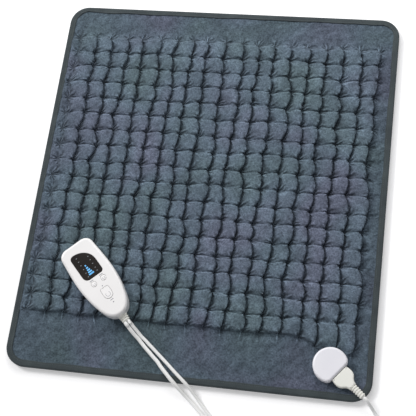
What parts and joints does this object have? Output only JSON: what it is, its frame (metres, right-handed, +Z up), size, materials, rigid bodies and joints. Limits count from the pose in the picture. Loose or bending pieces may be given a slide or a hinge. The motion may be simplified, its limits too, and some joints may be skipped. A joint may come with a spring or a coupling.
{
  "type": "quilted heating pad with wired handset controller",
  "caption": "Quilted rectangular heating pad with bound edges, a keyed handset resting on it and a round socket with a pull-out cord connector.",
  "frame": {"origin": "centre of the pad at the plane of its underside, which is the floor that it lies on", "axes": "+X along the near short edge to the right, where the socket is; +Y along the long edge, away from the socket; +Z up out of the quilted side"},
  "size_m": [0.5414, 0.7122, 0.0333],
  "materials": {
    "plush": "short plush, blue-grey",
    "binding_tape": "woven tape, dark green-grey",
    "backing_fabric": "smooth woven backing",
    "felt": "pressed felt",
    "batting_fill": "loose fibre fill",
    "wire_cover": "silicone wire cover",
    "white_shell": "white, satin gloss",
    "ivory_moulding": "ivory, satin",
    "cord_cover": "ivory flexible cover, satin",
    "smoked_lens": "smoked black, mirror gloss",
    "grey_plastic": "matte grey",
    "board_green": "solder mask",
    "black_plastic": "matte black",
    "fuse_glass": "clear",
    "relay_blue": "matte blue",
    "steel": "zinc plated",
    "brass": "bright"
  },
  "bodies": {
    "pad_and_handset": {"batting": "batting_fill", "bottom_cover": "backing_fabric", "case_screw_1": "steel", "case_screw_2": "steel", "case_screw_3": "steel", "case_screw_4": "steel", "circuit_board": "board_green", "controller_bottom_shell": "white_shell", "controller_top_shell": "white_shell", "cord_gland": "ivory_moulding", "display_module": "grey_plastic", "display_window": "smoked_lens", "edge_binding": "binding_tape", "fuse": "fuse_glass", "heater_carrier": "felt", "heating_wire": "wire_cover", "mains_lead": "cord_cover", "mains_lead_coil": "cord_cover", "mains_lead_end": "cord_cover", "microcontroller": "black_plastic", "pad_lead": "cord_cover", "plug_blade_1": "brass", "plug_blade_2": "brass", "plug_body": "ivory_moulding", "plug_strain_relief": "ivory_moulding", "power_switch": "black_plastic", "relay": "relay_blue", "socket_backing_plate": "grey_plastic", "socket_base": "white_shell", "socket_lid": "white_shell", "socket_pin_1": "brass", "socket_pin_2": "brass", "socket_pin_3": "brass", "socket_screw_1": "steel", "socket_screw_2": "steel", "temperature_switch": "black_plastic", "thermal_fuse_1": "steel", "thermal_fuse_2": "steel", "timer_switch": "black_plastic", "top_cover": "plush"},
    "temperature_button": {"temperature_key": "white_shell"},
    "timer_button": {"timer_key": "white_shell"},
    "power_button": {"power_key": "white_shell"},
    "connector": {"connector_body": "ivory_moulding", "connector_strain_relief": "ivory_moulding"}
  },
  "joints": [
    {"name": "connector_slide", "type": "slide", "parent": "pad_and_handset", "child": "connector", "axis": [0.7771, -0.6293, 0], "range_m": [0, 0.016], "deforming": ["pad_lead"]},
    {"name": "temperature_press", "type": "slide", "parent": "pad_and_handset", "child": "temperature_button", "axis": [0, 0, -1], "range_m": [0, 0.0006], "stiffness_N_per_m": 900, "springref_m": -0.0004},
    {"name": "timer_press", "type": "slide", "parent": "pad_and_handset", "child": "timer_button", "axis": [0, 0, -1], "range_m": [0, 0.0006], "stiffness_N_per_m": 900, "springref_m": -0.0004},
    {"name": "power_press", "type": "slide", "parent": "pad_and_handset", "child": "power_button", "axis": [0, 0, -1], "range_m": [0, 0.0006], "stiffness_N_per_m": 900, "springref_m": -0.0004}
  ]
}
